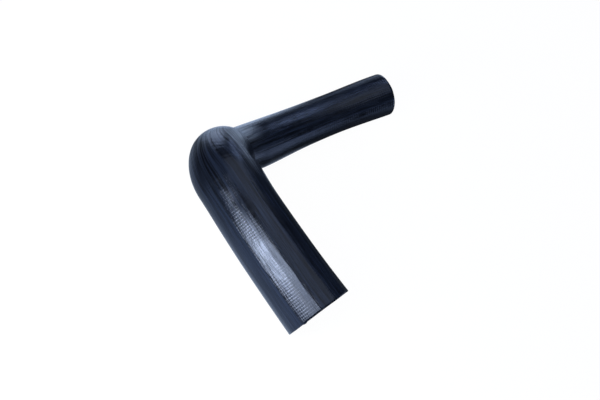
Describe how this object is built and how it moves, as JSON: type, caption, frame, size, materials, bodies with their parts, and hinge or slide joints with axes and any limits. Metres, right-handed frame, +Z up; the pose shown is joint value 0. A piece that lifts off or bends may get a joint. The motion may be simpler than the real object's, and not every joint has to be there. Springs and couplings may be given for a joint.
{
  "type": "charge air hose",
  "caption": "Moulded rubber elbow hose with a wide leg, a tight domed bend and a long narrow leg that sweeps up to its end; both ends are open and cut square.",
  "frame": {"origin": "middle of the bounding box, on the ground plane that the hose rests on", "axes": "+Z up from the ground as the hose lies at rest; the narrow leg reaches from the elbow along +Y; the wide leg's open end faces +X"},
  "size_m": [0.2098, 0.2672, 0.0689],
  "materials": {
    "hose": "satin blue-black moulded rubber with fine cloth-wrap marks"
  },
  "bodies": {
    "root": {"hose": "hose"}
  },
  "joints": []
}
